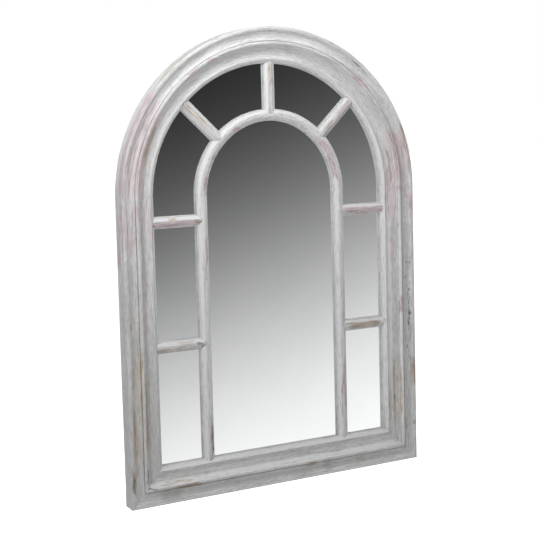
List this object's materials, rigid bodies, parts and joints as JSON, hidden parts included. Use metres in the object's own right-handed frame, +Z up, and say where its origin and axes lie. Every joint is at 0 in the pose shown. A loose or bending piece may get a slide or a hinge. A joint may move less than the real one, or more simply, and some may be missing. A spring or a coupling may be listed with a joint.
{
  "type": "arched window mirror",
  "caption": "Round-headed wall mirror made like a window: a moulded, distressed whitewashed wood frame with slim glazing bars over a sheet of mirror, and hanger rings on the back.",
  "frame": {"origin": "on the plane of the frame's back, midway along the hinge line of the two hanger rings; the bottom edge is 0.668 m below it and the crown of the arch 0.452 m above it", "axes": "+Z up along the mirror's height, +Y out of the back towards the wall, so the mirror looks along -Y, and +X to the right seen from the front"},
  "size_m": [0.8, 0.0531, 1.12],
  "materials": {
    "whitewashed_wood": "distressed whitewash, matt",
    "mirror": "silvered glass",
    "hardboard": "plain brown board",
    "zinc_steel": "zinc plated",
    "bumper_rubber": "matt"
  },
  "bodies": {
    "mirror": {"left_stile": "whitewashed_wood", "right_stile": "whitewashed_wood", "bottom_rail": "whitewashed_wood", "arch_head": "whitewashed_wood", "inner_left_stile": "whitewashed_wood", "inner_right_stile": "whitewashed_wood", "inner_arch": "whitewashed_wood", "upper_left_bar": "whitewashed_wood", "lower_left_bar": "whitewashed_wood", "upper_right_bar": "whitewashed_wood", "lower_right_bar": "whitewashed_wood", "left_radial_bar": "whitewashed_wood", "top_radial_bar": "whitewashed_wood", "right_radial_bar": "whitewashed_wood", "mirror_glass": "mirror", "back_panel": "hardboard", "panel_clip_1": "zinc_steel", "panel_clip_2": "zinc_steel", "panel_clip_3": "zinc_steel", "panel_clip_4": "zinc_steel", "panel_clip_5": "zinc_steel", "panel_clip_6": "zinc_steel", "panel_clip_7": "zinc_steel", "panel_clip_8": "zinc_steel", "panel_clip_9": "zinc_steel", "clip_screw_1": "zinc_steel", "clip_screw_2": "zinc_steel", "clip_screw_3": "zinc_steel", "clip_screw_4": "zinc_steel", "clip_screw_5": "zinc_steel", "clip_screw_6": "zinc_steel", "clip_screw_7": "zinc_steel", "clip_screw_8": "zinc_steel", "clip_screw_9": "zinc_steel", "left_hanger_plate": "zinc_steel", "left_hanger_screw_upper": "zinc_steel", "left_hanger_screw_lower": "zinc_steel", "right_hanger_plate": "zinc_steel", "right_hanger_screw_upper": "zinc_steel", "right_hanger_screw_lower": "zinc_steel", "left_wall_bumper": "bumper_rubber", "right_wall_bumper": "bumper_rubber"},
    "left_ring": {"left_hanger_ring": "zinc_steel"},
    "right_ring": {"right_hanger_ring": "zinc_steel"}
  },
  "joints": [
    {"name": "left_ring_hinge", "type": "hinge", "parent": "mirror", "child": "left_ring", "pos_m": [-0.3615, 0.0042, 0], "axis": [1, 0, 0], "range_deg": [0, 180]},
    {"name": "right_ring_hinge", "type": "hinge", "parent": "mirror", "child": "right_ring", "pos_m": [0.3615, 0.0042, 0], "axis": [1, 0, 0], "range_deg": [0, 180]}
  ]
}
